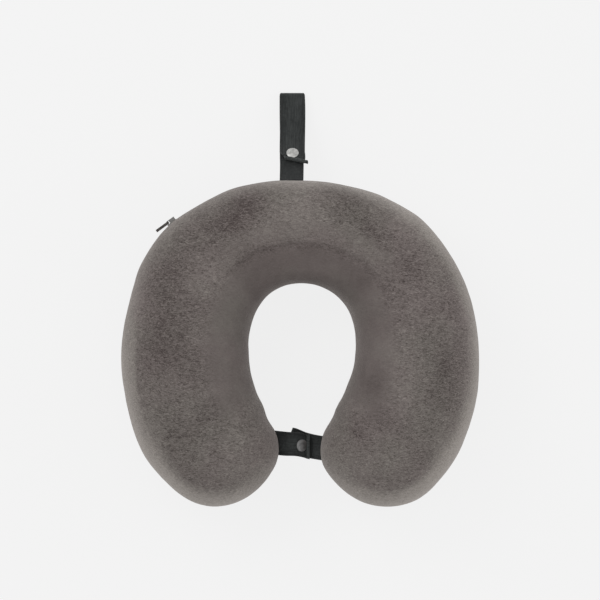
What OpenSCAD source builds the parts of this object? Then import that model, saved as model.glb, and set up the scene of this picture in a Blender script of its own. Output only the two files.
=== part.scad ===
// U-shaped travel neck pillow, lying flat on its underside, in millimetres.
// +Y is the back of the neck, the opening faces -Y, +Z is up, and the origin is on the
// ground under the middle of the whole object, strap included.
// A moulded foam core sits in a thin liner, inside a zipped two-panel plush cover. A webbing
// strap with a snap hangs at the back, and two webbing tabs snap together across the opening.

/* [Pillow] */
// Height of the seam that runs all round, above the flat underside
seam_z = 50; // [46:0.5:54]
// Distance of the ring's centre in front of the origin
ring_front = 40; // [38:0.5:42]
// Ring centre to the middle of the tube, at the back
back_r = 97; // [95:0.5:99]
// Ring centre to the middle of the tube, at the back corners
corner_r = 99.5; // [97:0.5:102]
// Ring centre to the middle of the tube, at the sides
side_r = 97.5; // [95:0.5:100]
// Ring centre to the middle of the tube, at the front shoulders
shoulder_r = 102; // [100:0.5:104]
// Ring centre to the middle of the tube, where each tip begins
tip_r = 108; // [106:0.5:110]
// Half width of the tube at the back
back_half_w = 43.3; // [41:0.1:45]
// Half width of the tube at the back corners
corner_half_w = 49; // [47:0.5:51]
// Half width of the tube at the sides
side_half_w = 52.5; // [50:0.5:54]
// Half width of the tube at the front shoulders
shoulder_half_w = 54.5; // [52:0.5:56]
// Half width of the tube where each tip begins
tip_half_w = 53.5; // [51:0.5:54]
// Rise of the top over the seam at the back
back_rise = 40; // [36:1:44]
// Rise of the top over the seam at the back corners
corner_rise = 47; // [43:1:51]
// Rise of the top over the seam at the sides
side_rise = 54; // [50:1:58]
// Rise of the top over the seam at the front shoulders
shoulder_rise = 55; // [51:1:59]
// Rise of the top over the seam where each tip begins
tip_rise = 52; // [48:1:56]
// Squareness of the tube's section above the seam, 2 is an ellipse
top_power = 2.5; // [2.4:0.1:2.8]
// Squareness of the tube's section below the seam
under_power = 2.8; // [2.5:0.1:3]
// How much of the underside is pressed flat by the ground
flat_press = 1.5; // [1:0.1:2]

/* [Layers] */
// Thickness of the plush cover
cover_t = 2; // [1.6:0.1:2]
// Depth of the liner's outside below the cover's outside
liner_inset = 4.4; // [4.4:0.1:5]
// Thickness of the liner
liner_t = 0.8; // [0.6:0.1:1]
// Depth of the foam's surface below the cover's outside
foam_inset = 6; // [6:0.1:8]

/* [Zip] */
// Radius of the arc that the zip follows round the back
zip_r = 182; // [181:0.1:183]
// Azimuth of the zip's closed end, about the arc's centre, from the back towards +X
zip_from = -38.7; // [-38.8:0.1:-38.6]
// Azimuth of the zip's open end
zip_to = 26; // [24:0.1:26]
// Azimuth of the slider when the zip is closed
slider_az = -36.2; // [-36.3:0.1:-36.1]
// Half height of the gap between the panels, which shows the zip
zip_gap = 3.7; // [3.7:0.1:4]
// Reach of each tape from the seam
tape_reach = 6.5; // [6:0.1:6.5]
// Thickness of each tape
tape_t = 0.4; // [0.3:0.1:0.4]
// Height of one row of the coil
coil_h = 1.57; // [1.4:0.01:1.6]
// Slider length along the arc
slider_l = 9.2; // [9:0.1:9.4]
// Pull tab length from its pivot
pull_l = 12.6; // [10:0.1:14]
// Pull tab width
pull_w = 5; // [4:0.1:5.4]
// Pull tab thickness
pull_t = 2.3; // [1.6:0.1:2.3]

/* [Webbing] */
// Thickness of the webbing
web_t = 1.3; // [1.1:0.1:1.4]
// Width of the back strap
loop_w = 21; // [18:0.5:22]
// Middle of the back strap, along X
loop_x = -6.3; // [-8:0.1:-4]
// Bend radius of the hanging strap
loop_bend_r = 150; // [140:1:160]
// Steepness of the strap where it leaves the seam, degrees below level
loop_root_drop = 48; // [47.9:0.1:48.3]
// Steepness of the strap at its fold
loop_fold_drop = 16.4; // [16.2:0.1:16.6]
// Steepness of the strap at its snap
loop_snap_drop = 38; // [36:0.5:39]
// Steepness of the folded-back flap at its free end
loop_end_drop = 41; // [40.5:0.1:42]
// Width of the front tabs
tab_w = 20.4; // [18:0.2:21]
// Length of each tab past the middle of the snap
tab_past = 7.6; // [6:0.2:8]
// Half of the straight stretch of a tab next to the snap
tab_straight = 5.5; // [5.2:0.1:6]

/* [Snaps] */
// Radius of a snap's cap
cap_r = 5.1; // [4.8:0.1:5.2]
// Height of a cap's crown
cap_crown = 0.9; // [0.6:0.1:1]
// Space between two snapped layers of webbing
snap_space = 3; // [2.9:0.1:3.2]
// Sideways tilt of the front snap, towards +X
front_tilt = 30; // [26:1:32]
// Turn of the front tabs about Z
front_turn = -7; // [-9:0.5:-5]
// Place of the front snap along Y
front_snap_y = -122; // [-123:0.5:-121]
// Height of the middle of the front snap
front_snap_z = 49; // [48:0.5:50]

/* [Hidden] */
$fn = 64;

plush = [0.41, 0.385, 0.365];
webbing = [0.17, 0.18, 0.18];

ring_c = [0, -ring_front];
tip_az = 138;
station_az = [0, 45, 90, 115, tip_az];
station_r = [back_r, corner_r, side_r, shoulder_r, tip_r];
station_w = [back_half_w, corner_half_w, side_half_w, shoulder_half_w, tip_half_w];
station_rise = [back_rise, corner_rise, side_rise, shoulder_rise, tip_rise];
tip_flare = 0.2;          // how fast the tube's middle still moves outwards at the tip, mm/degree
cap_fullness = 0.8;       // below 1, the rounded tips stay tall for longer

zip_c = [0, -ring_front + back_r + back_half_w - zip_r];
zip_hold = [-49.5, 35];   // ring azimuths between which the outline follows the zip's arc
zip_fade = 13;            // degrees over which the outline leaves the arc
gap_ends = [-49, 33.5];   // ring azimuths of the ends of the zip's gap
seam_gap = 0.05;          // half the gap between the panels at the sewn seam
coil_out = 1;             // depth of the coil's face below the cover's outside
tape_out = 2.75;          // depth of the tapes' outer faces
parted = 0.95;            // how far the rows stand from the seam where the slider parts them

// ---------- shape of the pillow ----------

// Smooth curve through values v at azimuths x, level at the back, ending with slope last
function slope(x, v, i, last) =
    i == 0 ? 0 : i == len(x) - 1 ? last : (v[i + 1] - v[i - 1]) / (x[i + 1] - x[i - 1]);
function span(x, a, i = 0) = i >= len(x) - 2 || a <= x[i + 1] ? i : span(x, a, i + 1);
function hermite(p, q, m, n, w, t) =
    p * (1 + 2 * t) * pow(1 - t, 2) + q * t * t * (3 - 2 * t)
    + w * (m * t * pow(1 - t, 2) - n * t * t * (1 - t));
function curve_in(x, v, a, last, i) =
    hermite(v[i], v[i + 1], slope(x, v, i, last), slope(x, v, i + 1, last),
            x[i + 1] - x[i], (a - x[i]) / (x[i + 1] - x[i]));
function curve(v, a, last = 0) =
    curve_in(station_az, v, abs(a), last, span(station_az, abs(a)));

function unit(p) = p / norm(p);
function held(a) = min(tip_az, max(-tip_az, a));
function middle(a) = ring_c + curve(station_r, a, tip_flare) * [sin(a), cos(a)];
function along(a) = unit(middle(held(a + 0.5)) - middle(held(a - 0.5)));
function outward(a) = let (t = along(a)) [-t.y, t.x];

// How closely the outline follows the zip's arc at ring azimuth a: 1 on it, 0 free of it
function ease(t) = let (c = min(1, max(0, t))) c * c * (3 - 2 * c);
function on_arc(a) = 1 - ease(max(zip_hold[0] - a, a - zip_hold[1]) / zip_fade);
function arc_reach(a) = let (d = middle(a) - zip_c, b = d * outward(a))
    sqrt(b * b - d * d + zip_r * zip_r) - b;
function outer_w(a) = let (w = curve(station_w, a), k = on_arc(a))
    k > 0 ? w + k * (arc_reach(a) - w) : w;

function sgn_pow(c, p) = sign(c) * pow(abs(c), p);

// Point of the skin. s runs along the tube: -138 to 138 are azimuths, the 90 beyond each end go
// round the tip. v runs round the section: 0 is the outer seam, 90 the top, 180 the inner seam.
function tip_turn(s) = max(0, abs(s) - tip_az);
function fullness(s) = pow(cos(tip_turn(s)), cap_fullness);
function rise_at(s, inset) = (curve(station_rise, held(s)) - inset) * fullness(s);
function drop_at(s, inset) = (seam_z + flat_press - inset) * fullness(s);
function section_z(s, v, inset) = v <= 180
    ? rise_at(s, inset) * pow(abs(sin(v)), 2 / top_power)
    : -min(seam_z - inset, drop_at(s, inset) * pow(abs(sin(v)), 2 / under_power));
function skin(s, v, inset) =
    let (a = held(s), phi = tip_turn(s), in_w = curve(station_w, a), out_w = outer_w(a),
         half = (in_w + out_w) / 2 - inset,
         power = 2 / (v <= 180 ? top_power : under_power),
         p = middle(a) + along(a) * sign(s) * half * sin(phi)
             + outward(a) * ((out_w - in_w) / 2 + half * cos(phi) * sgn_pow(cos(v), power)))
    [p.x, p.y, seam_z + section_z(s, v, inset)];
function tip_point(side, inset) =
    let (p = middle(side * tip_az) + along(side * tip_az) * side * (tip_half_w - inset))
    [p.x, p.y, seam_z];

// Stations along the tube, without the two tip points
tip_steps = [11, 22, 33, 43, 53, 62, 71, 79];
arm_step = 6;
function stations() = concat(
    [for (i = [len(tip_steps) - 1 : -1 : 0]) -tip_az - tip_steps[i]],
    [for (a = [-tip_az : arm_step : -54]) a],
    [gap_ends[0] - 1.5, gap_ends[0]],
    [for (a = [-48 : arm_step : 30]) a],
    [gap_ends[1], gap_ends[1] + 1.5],
    [for (a = [36 : arm_step : tip_az]) a],
    [for (t = tip_steps) tip_az + t]);

// Faces of a tube whose rings have n points each, closed by pole points after the last ring.
// own[j] picks the pole, 0 or 1 of its end, that point j of a ring runs to.
function ring_quads(rings, n) = [
    for (i = [0 : rings - 2], j = [0 : n - 1])
        let (k = (j + 1) % n) each [
            [i * n + j, (i + 1) * n + k, i * n + k],
            [i * n + j, (i + 1) * n + j, (i + 1) * n + k]]
];
function end_fan(base, pole, own, n, flip) = [
    for (j = [0 : n - 1])
        let (k = (j + 1) % n, a = base + j, b = base + k, p = pole + own[j], q = pole + own[k])
        each concat([flip ? [a, b, p] : [b, a, p]], p == q ? [] : [flip ? [b, q, p] : [b, p, q]])
];

module tube(rings, first_poles, last_poles, own) {
    n = len(rings[0]);
    count = len(rings) * n;
    points = concat([for (r = rings) each r], first_poles, last_poles);
    faces = concat(
        ring_quads(len(rings), n),
        end_fan(0, count, own, n, true),
        end_fan((len(rings) - 1) * n, count + len(first_poles), own, n, false));
    polyhedron(points = points, faces = faces, convexity = 6);
}

// A skin of thickness t from angle from(s) to to(s) of each section, inset below the outside
module shell(list, steps, inset, t, starts, ends) {
    rings = [for (i = [0 : len(list) - 1]) let (s = list[i], a = starts[i], b = ends[i]) concat(
        [for (j = [0 : steps]) skin(s, (a + (b - a) * j / steps) % 360, inset)],
        [for (j = [steps : -1 : 0]) skin(s, (a + (b - a) * j / steps) % 360, inset + t)])];
    own = concat([for (j = [0 : steps]) 0], [for (j = [0 : steps]) 1]);
    tube(rings, [tip_point(-1, inset), tip_point(-1, inset + t)],
         [tip_point(1, inset), tip_point(1, inset + t)], own);
}

module foam_core() {
    steps = 18;
    rings = [for (s = stations()) [for (j = [0 : steps - 1]) skin(s, 360 * j / steps, foam_inset)]];
    color([0.93, 0.91, 0.84])
        tube(rings, [tip_point(-1, foam_inset)], [tip_point(1, foam_inset)],
             [for (j = [0 : steps - 1]) 0]);
}

// The liner's closing seam is a slit along the inner side of the ring
module foam_liner() {
    list = stations();
    slit = 0.4;
    color([0.85, 0.85, 0.83])
        shell(list, 18, liner_inset, liner_t,
              [for (s = list) 180 + slit], [for (s = list) 540 - slit]);
}

// Angle of the section at which the outside stands z away from the seam plane
function edge_angle(z, reach, power) = asin(pow(z / reach, power / 2));
function gap_at(s) = s > gap_ends[0] - 1 && s < gap_ends[1] + 1 ? zip_gap : seam_gap;

module cover_top() {
    list = stations();
    color(plush)
        shell(list, 12, 0, cover_t,
              [for (s = list) edge_angle(gap_at(s), rise_at(s, 0), top_power)],
              [for (s = list) 180 - edge_angle(seam_gap, rise_at(s, 0), top_power)]);
}

module cover_bottom() {
    list = stations();
    color(plush)
        shell(list, 12, 0, cover_t,
              [for (s = list) 180 + edge_angle(seam_gap, drop_at(s, 0), under_power)],
              [for (s = list) 360 - edge_angle(gap_at(s), drop_at(s, 0), under_power)]);
}

// ---------- zip ----------

// Sector of a ring about the zip's centre: azimuths a0 to a1, depths d0 to d1 below the
// cover's outside, heights z0 to z1 from the seam
module zip_sector(a0, a1, d0, d1, z0, z1) {
    translate([zip_c.x, zip_c.y, seam_z + z0])
        rotate([0, 0, 90 - a1])
            rotate_extrude(angle = a1 - a0, $fn = 360)
                translate([zip_r - d1, 0])
                    square([d1 - d0, z1 - z0]);
}

function arc_angle(length) = length / zip_r * 180 / PI;

slider_half = arc_angle(slider_l / 2);
post_az = slider_az - 0.6 * slider_half;     // the wedge stands near the slider's closing end
parted_to = slider_az - 0.1 * slider_half;   // the rows meet behind the wedge
stop_gap = 0.25;                             // degrees between the slider and a stop
stop_l = 0.6;                                // length of a stop, degrees
bottom_stop_az = zip_to - 1.2;

// Where the slider parts the two sides, each is a little thinner and laps into the closed stretch
lap = 0.1;             // degrees
thinner = 0.04;

module tape(side) {
    edge = 0.3;
    parted_edge = parted + 0.05;
    z_near = side > 0 ? edge : -tape_reach;
    z_far = side > 0 ? parted_edge : thinner - tape_reach;
    color([0.2, 0.19, 0.19]) {
        zip_sector(parted_to, zip_to, tape_out, tape_out + tape_t, z_near,
                   z_near + tape_reach - edge);
        zip_sector(zip_from, parted_to + lap, tape_out + thinner, tape_out + tape_t - thinner,
                   z_far, z_far + tape_reach - parted_edge - thinner);
    }
}

module zip_tape_upper() {
    tape(1);
}

module zip_tape_lower() {
    tape(-1);
}

module coil_row(side) {
    meet = 0.03;
    z_closed = side > 0 ? meet : -meet - coil_h;
    z_open = side > 0 ? parted : -parted - coil_h;
    first = slider_az - slider_half;
    color([0.24, 0.23, 0.22]) {
        zip_sector(parted_to, bottom_stop_az + stop_l, coil_out, tape_out,
                   z_closed, z_closed + coil_h);
        zip_sector(first, parted_to + lap, coil_out + thinner, tape_out - thinner,
                   z_open, z_open + coil_h);
    }
}

module zip_coil_upper() {
    coil_row(1);
}

module zip_coil_lower() {
    coil_row(-1);
}

module zip_top_stops() {
    last = slider_az - slider_half - stop_gap;
    color([0.5, 0.5, 0.5])
        for (z = [parted, -parted - coil_h])
            zip_sector(last - stop_l, last, coil_out - 0.2, tape_out, z, z + coil_h);
}

module zip_bottom_stop() {
    grip = 0.2;
    a0 = bottom_stop_az + stop_l + 0.02;
    color([0.5, 0.5, 0.5])
        zip_sector(a0, a0 + stop_l, coil_out - grip, tape_out, -coil_h - grip, coil_h + grip);
}

// Places children with the origin on the cover's outside at azimuth az, +Y straight out of the
// zip and +X along it towards the open end
module at_zip(az) {
    translate([zip_c.x, zip_c.y, seam_z])
        rotate([0, 0, -az])
            translate([0, zip_r, 0])
                children();
}

slider_half_w = 3.35;
face_out = 0.4;        // the slider's face stands this far proud of the cover
face_depth = 0.75;     // depth of the inside of the slider's face
flange_t = 0.6;
crown_half_w = 0.9;
crown_x = [-3.75, 3.9]; // the crown's ends, along the slider from its middle
crown_out = 3.3;       // the crown's top above the cover's outside
window_x = [-3.1, -1.5]; // the window under the crown, from end to end
window_out = 2.55;     // the top of that window
pivot_x = -2.4;        // the pull's pivot, along the slider from its middle
pivot_out = 1.75;
pivot_r = 0.5;

module zip_slider() {
    first = slider_az - slider_half;
    last = slider_az + slider_half;
    plate_in = tape_out + tape_t + 0.2;
    plate_t = 0.7;
    color([0.46, 0.45, 0.44]) {
        difference() {
            union() {
                zip_sector(first, last, -face_out, face_depth, -slider_half_w, slider_half_w);
                zip_sector(first, last, plate_in, plate_in + plate_t, -slider_half_w, slider_half_w);
                for (z = [-slider_half_w, slider_half_w - flange_t])
                    zip_sector(first, last, 0, tape_out - 0.2, z, z + flange_t);
                at_zip(post_az)
                    rotate([90, 0, 0])
                        cylinder(r = 0.8, h = plate_in + 0.4);
                at_zip(slider_az)
                    translate([crown_x[0], 0, -crown_half_w])
                        cube([crown_x[1] - crown_x[0], crown_out, 2 * crown_half_w]);
            }
            at_zip(slider_az)
                translate([window_x[0], face_out, -crown_half_w - 1])
                    cube([window_x[1] - window_x[0], window_out - face_out, 2 * crown_half_w + 2]);
        }
    }
}

// The pull's plate is level with its pivot. The eye in it is long enough to pass over the crown.
module zip_pull() {
    eye = crown_half_w + 0.25;
    eye_l = 6.9;
    low = pivot_out - pull_t / 2;
    rounding = pull_w / 2;
    color([0.16, 0.15, 0.15])
        at_zip(slider_az)
            translate([pivot_x, 0, 0]) {
                translate([0, pivot_out, -pull_w / 2])
                    cylinder(r = pivot_r, h = pull_w);
                difference() {
                    union() {
                        translate([rounding - pull_l, low, -pull_w / 2])
                            cube([pull_l - rounding, pull_t, pull_w]);
                        translate([rounding - pull_l, low + pull_t, 0])
                            rotate([90, 0, 0])
                                cylinder(r = rounding, h = pull_t);
                    }
                    translate([-eye_l, low - 1, -eye])
                        cube([eye_l + 1, pull_t + 2, 2 * eye]);
                }
            }
}

// ---------- webbing ----------

// Turns a drawing in (x, y), thickened along z, so that x, y lie along Y, Z and z along X
module upright_x() {
    rotate([0, 0, 90])
        rotate([90, 0, 0])
            children();
}

// Turns a drawing in (x, y), thickened along z, so that x, y lie along X, Z
module upright_y() {
    rotate([90, 0, 0])
        children();
}

// Band bent round centre c at radius r, from angle a0 to a1, centred on the drawing plane
module bent_band(c, r, a0, a1, w) {
    translate([c.x, c.y, -w / 2])
        rotate([0, 0, a0])
            rotate_extrude(angle = a1 - a0, $fn = 180)
                translate([r - web_t / 2, 0])
                    square([web_t, w]);
}

// What is joined to a bent band is smaller than it all round by this, and laps into it
finer = 0.03;
band_lap = 0.3;

module straight_band(from, to, w) {
    d = to - from;
    translate([from.x, from.y, finer - w / 2])
        rotate([0, 0, atan2(d.y, d.x)])
            translate([-band_lap, finer - web_t / 2, 0])
                cube([norm(d) + band_lap, web_t - 2 * finer, w - 2 * finer]);
}

// Rounds a band's end at p
module bead(p, w) {
    translate([p.x, p.y, finer - w / 2])
        cylinder(r = web_t / 2 - finer, h = w - 2 * finer);
}

root_clear = 0.35;
layer_pitch = snap_space + web_t;
loop_root = [zip_c.y + zip_r + root_clear + web_t / 2, seam_z - 5.5];
loop_c = loop_root + loop_bend_r * [sin(loop_root_drop), cos(loop_root_drop)];
fold_r = layer_pitch / 2;
fold_c = loop_c - (loop_bend_r - fold_r) * [sin(loop_fold_drop), cos(loop_fold_drop)];
shank_hole_r = 1.45;

module at_loop_snap() {
    p = loop_c - (loop_bend_r - web_t / 2) * [sin(loop_snap_drop), cos(loop_snap_drop)];
    translate([loop_x, p.x, p.y])
        rotate([-loop_snap_drop, 0, 0])
            children();
}

module shank_hole() {
    translate([0, 0, -10])
        cylinder(r = shank_hole_r, h = 20);
}

module loop_strap_base() {
    color(webbing)
        difference() {
            translate([loop_x, 0, 0])
                upright_x() {
                    bead(loop_root, loop_w);
                    bent_band(loop_c, loop_bend_r, 270 - loop_root_drop, 270 - loop_fold_drop, loop_w);
                }
            at_loop_snap()
                shank_hole();
        }
}

module loop_strap_bend() {
    color(webbing)
        translate([loop_x, 0, 0])
            upright_x()
                bent_band(fold_c, fold_r, -90 - loop_fold_drop, 90 - loop_fold_drop, loop_w);
}

module loop_strap_flap() {
    color(webbing)
        difference() {
            translate([loop_x, 0, 0])
                upright_x()
                    bent_band(loop_c, loop_bend_r - layer_pitch, 270 - loop_end_drop,
                              270 - loop_fold_drop, loop_w);
            at_loop_snap()
                shank_hole();
        }
}

// The front tabs are drawn in a plane that holds the snap's axis. Each is straight under the
// snap and bends to its root at the seam of its arm.
tab_dir = [cos(front_tilt), -sin(front_tilt)];
tab_normal = [sin(front_tilt), cos(front_tilt)];
tab_root_x = 17;
function tab_pass(side) = [0, front_snap_z] - side * tab_normal * layer_pitch / 2;
function tab_root(side) = [side * tab_root_x, seam_z];
function tab_end(side) = tab_pass(side) - side * tab_dir * tab_past;
function tab_join(side) = tab_pass(side) + side * tab_dir * tab_straight;
// Radius and centre of the arc that leaves the straight stretch and meets the root
function tab_arc_r(side) =
    let (d = tab_root(side) - tab_join(side)) d * d / (2 * side * (d * tab_normal));
function tab_arc_c(side) = tab_join(side) + side * tab_arc_r(side) * tab_normal;
function angle_of(p) = atan2(p.y, p.x);
function turn_between(a, b) = (b - a + 540) % 360 - 180;

module front_place() {
    translate([0, front_snap_y, 0])
        rotate([0, 0, front_turn])
            children();
}

module at_front_snap() {
    front_place()
        translate([0, 0, front_snap_z])
            rotate([0, front_tilt, 0])
                translate([0, 0, -snap_space / 2])
                    children();
}

// side is -1 for the left tab, which lies on top, and 1 for the right tab
module tab(side) {
    c = tab_arc_c(side);
    r = tab_arc_r(side);
    at_join = angle_of(tab_join(side) - c);
    at_root = at_join + turn_between(at_join, angle_of(tab_root(side) - c));
    color(webbing)
        difference() {
            front_place()
                upright_y() {
                    bead(tab_root(side), tab_w);
                    bent_band(c, r, min(at_join, at_root), max(at_join, at_root), tab_w);
                    straight_band(tab_join(side), tab_end(side), tab_w);
                }
            at_front_snap()
                shank_hole();
        }
}

module left_tab() {
    tab(-1);
}

module right_tab() {
    tab(1);
}

// ---------- snap fasteners, drawn with z = 0 on the lower layer's upper face ----------

// The webbing is hollowed by its bend, so a stud and a cap stand this far off the middle of it
stud_bed = 0.08;
cap_bed = 0.12;

shank_r = 1.3;
shank_end = snap_space - 0.4;
socket_from = 0.9;
bore_r = 2.15;

module snap_cap(tint) {
    rim = 0.5;
    top = snap_space + web_t + cap_bed;
    crown_r = cap_r - 0.2;
    dome_r = (crown_r * crown_r + cap_crown * cap_crown) / (2 * cap_crown);
    color(tint) {
        translate([0, 0, top])
            cylinder(r = cap_r, h = rim);
        translate([0, 0, shank_end])
            cylinder(r = shank_r, h = top + 0.1 - shank_end);
        intersection() {
            translate([0, 0, top + rim - 0.05])
                cylinder(r = crown_r, h = cap_crown + 1);
            translate([0, 0, top + rim + cap_crown - dome_r])
                sphere(r = dome_r, $fn = 128);
        }
    }
}

module snap_socket() {
    groove_r = 2.8;
    color([0.6, 0.6, 0.6])
        difference() {
            translate([0, 0, socket_from])
                cylinder(r = 4.8, h = snap_space - socket_from);
            translate([0, 0, socket_from - 1])
                cylinder(r = bore_r, h = shank_end - 0.2 - socket_from + 1);
            translate([0, 0, socket_from + 0.4])
                cylinder(r = groove_r, h = 0.7);
            translate([0, 0, 1])
                cylinder(r = shank_r + 0.05, h = snap_space);
        }
}

module snap_spring() {
    wire_r = 0.25;
    color([0.75, 0.65, 0.4])
        translate([0, 0, socket_from + 0.75])
            rotate([0, 0, 20])
                rotate_extrude(angle = 320)
                    translate([bore_r + wire_r, 0])
                        circle(r = wire_r, $fn = 24);
}

module snap_stud() {
    color([0.6, 0.6, 0.6])
        difference() {
            union() {
                translate([0, 0, stud_bed])
                    cylinder(r = 4.3, h = 0.6);
                translate([0, 0, stud_bed])
                    cylinder(r = 1.6, h = 1.8);
                translate([0, 0, 1.4])
                    cylinder(r = 1.85, h = 0.55);
            }
            translate([0, 0, -1])
                cylinder(r = shank_r + 0.05, h = 2.8);
        }
}

module snap_post() {
    rise = 1.5;
    color([0.6, 0.6, 0.6]) {
        translate([0, 0, -web_t - 0.7])
            cylinder(r = 4.5, h = 0.7);
        translate([0, 0, -web_t - 0.1])
            cylinder(r = shank_r, h = web_t + 0.1 + rise);
    }
}

module loop_snap_cap() {
    at_loop_snap() snap_cap([0.72, 0.72, 0.71]);
}

module loop_snap_socket() {
    at_loop_snap() snap_socket();
}

module loop_snap_spring() {
    at_loop_snap() snap_spring();
}

module loop_snap_stud() {
    at_loop_snap() snap_stud();
}

module loop_snap_post() {
    at_loop_snap() snap_post();
}

module front_snap_cap() {
    at_front_snap() snap_cap([0.34, 0.34, 0.34]);
}

module front_snap_socket() {
    at_front_snap() snap_socket();
}

module front_snap_spring() {
    at_front_snap() snap_spring();
}

module front_snap_stud() {
    at_front_snap() snap_stud();
}

module front_snap_post() {
    at_front_snap() snap_post();
}

foam_core();
foam_liner();
cover_top();
cover_bottom();
zip_tape_upper();
zip_tape_lower();
zip_coil_upper();
zip_coil_lower();
zip_top_stops();
zip_bottom_stop();
zip_slider();
zip_pull();
loop_strap_base();
loop_strap_bend();
loop_strap_flap();
loop_snap_cap();
loop_snap_socket();
loop_snap_spring();
loop_snap_stud();
loop_snap_post();
left_tab();
right_tab();
front_snap_cap();
front_snap_socket();
front_snap_spring();
front_snap_stud();
front_snap_post();
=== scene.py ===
"""The looks of a U-shaped travel neck pillow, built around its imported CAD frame, in metres."""
import math

import bmesh
import bpy
import numpy as np
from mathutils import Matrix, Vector, noise


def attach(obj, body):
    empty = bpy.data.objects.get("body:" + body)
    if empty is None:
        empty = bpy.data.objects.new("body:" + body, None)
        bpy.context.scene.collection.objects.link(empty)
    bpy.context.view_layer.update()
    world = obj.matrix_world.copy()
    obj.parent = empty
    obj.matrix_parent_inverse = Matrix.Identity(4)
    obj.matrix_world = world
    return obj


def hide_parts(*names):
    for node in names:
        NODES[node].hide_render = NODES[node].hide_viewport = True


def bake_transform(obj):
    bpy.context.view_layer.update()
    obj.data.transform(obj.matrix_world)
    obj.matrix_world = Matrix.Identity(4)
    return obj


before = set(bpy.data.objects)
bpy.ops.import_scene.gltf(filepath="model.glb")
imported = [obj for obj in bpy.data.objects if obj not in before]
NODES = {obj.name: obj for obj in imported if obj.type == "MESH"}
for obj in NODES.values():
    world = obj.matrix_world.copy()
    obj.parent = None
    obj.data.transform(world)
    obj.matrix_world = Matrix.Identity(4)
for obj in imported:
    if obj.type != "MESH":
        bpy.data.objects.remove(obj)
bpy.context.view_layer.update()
MM = 0.001

# ---------------------------------------------------------------- the pillow's form, in mm
# The same stations as the frame's: azimuths from the back, and at each the distance of the tube's
# middle from the ring's centre, its half width, and its rise over the seam.
SEAM_Z = 50.0
RING_Y = -40.0
STATIONS = [0, 45, 90, 115, 138]
MIDDLE = [97, 99.5, 97.5, 102, 108]
HALF_W = [43.3, 49, 52.5, 54.5, 53.5]
RISE = [40, 47, 54, 55, 52]
TIP = 138.0
TIP_FLARE = 0.2
TOP_POWER, UNDER_POWER = 2.5, 2.8
UNDER_DROP = 51.5
TIP_FULLNESS = 0.8

ZIP_R = 182.0
ZIP_Y = -81.7
ZIP_HOLD = (-49.5, 35.0)
ZIP_FADE = 13.0
GAP = (-49.0, 33.5)          # ring azimuths of the ends of the zip's gap
ZIP_CLOSED, ZIP_OPEN = -38.7, 26.0
SLIDER_AZ = -36.2


def slopes(values, last):
    inner = [
        (values[i + 1] - values[i - 1]) / (STATIONS[i + 1] - STATIONS[i - 1])
        for i in range(1, len(values) - 1)
    ]
    return [0.0, *inner, last]


def curve(values, azimuth, last=0.0):
    """The smooth curve through a list of station values, at azimuths of either sign."""
    a = np.abs(np.asarray(azimuth, float))
    m = slopes(values, last)
    i = np.clip(np.searchsorted(STATIONS, a, side="left") - 1, 0, len(STATIONS) - 2)
    x0, x1 = np.take(STATIONS, i), np.take(STATIONS, i + 1)
    w = x1 - x0
    t = (a - x0) / w
    p, q = np.take(values, i), np.take(values, i + 1)
    return (
        p * (1 + 2 * t) * (1 - t) ** 2
        + q * t * t * (3 - 2 * t)
        + w * (np.take(m, i) * t * (1 - t) ** 2 - np.take(m, i + 1) * t * t * (1 - t))
    )


def ease(t):
    t = np.clip(t, 0, 1)
    return t * t * (3 - 2 * t)


def bell(value, at, width):
    return np.exp(-(((value - at) / width) ** 2))


def middle(a):
    r, angle = curve(MIDDLE, a, TIP_FLARE), np.radians(a)
    return np.stack([r * np.sin(angle), RING_Y + r * np.cos(angle)], -1)


def along(a):
    low, high = np.clip(a - 0.5, -TIP, TIP), np.clip(a + 0.5, -TIP, TIP)
    d = middle(high) - middle(low)
    return d / np.linalg.norm(d, axis=-1, keepdims=True)


def outward(a):
    t = along(a)
    return np.stack([-t[..., 1], t[..., 0]], -1)


def outer_width(a):
    """Half width towards the outside, which follows the zip's arc across the back."""
    plain = curve(HALF_W, a)
    follow = 1 - ease(np.maximum(ZIP_HOLD[0] - a, a - ZIP_HOLD[1]) / ZIP_FADE)
    d = middle(a) - np.array([0.0, ZIP_Y])
    b = (d * outward(a)).sum(-1)
    reach = np.sqrt(np.maximum(b * b - (d * d).sum(-1) + ZIP_R**2, 0)) - b
    return plain + follow * (reach - plain)


def tube_section(a, rho, height, side):
    """Points of the tube at azimuths a: rho is 0 on the crest line and 1 at the seam."""
    inner, outer = curve(HALF_W, a), outer_width(a)
    half = (inner + outer) / 2
    across = (outer - inner) / 2 + side * half * rho
    p = middle(a) + outward(a) * across[..., None]
    return np.stack([p[..., 0], p[..., 1], height], -1)


def rise_height(a, h, under):
    if under:
        return np.full(np.shape(a), SEAM_Z - min(SEAM_Z, UNDER_DROP * h))
    return SEAM_Z + curve(RISE, a) * h


def tip_points(side, theta, h, under):
    """Points of a rounded tip. theta is 0 at the outer side and 180 at the inner side."""
    power = UNDER_POWER if under else TOP_POWER
    t = np.radians(theta)
    low, high = np.zeros_like(t), np.ones_like(t)
    for _ in range(40):
        rho = (low + high) / 2
        c = np.sqrt(np.maximum(1 - (rho * np.sin(t)) ** 2, 1e-12))
        x = np.minimum(np.abs(rho * np.cos(t)) / c, 1)
        value = c**TIP_FULLNESS * (1 - x**power) ** (1 / power)
        high = np.where(value < h, rho, high)
        low = np.where(value < h, low, rho)
    a = np.full_like(t, side * TIP)
    half = curve(HALF_W, a)
    p = (
        middle(a)
        + outward(a) * (half * rho * np.cos(t))[..., None]
        + along(a) * (side * half * rho * np.sin(t))[..., None]
    )
    z = rise_height(a, h, under)
    return np.stack([p[..., 0], p[..., 1], z], -1)


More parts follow.
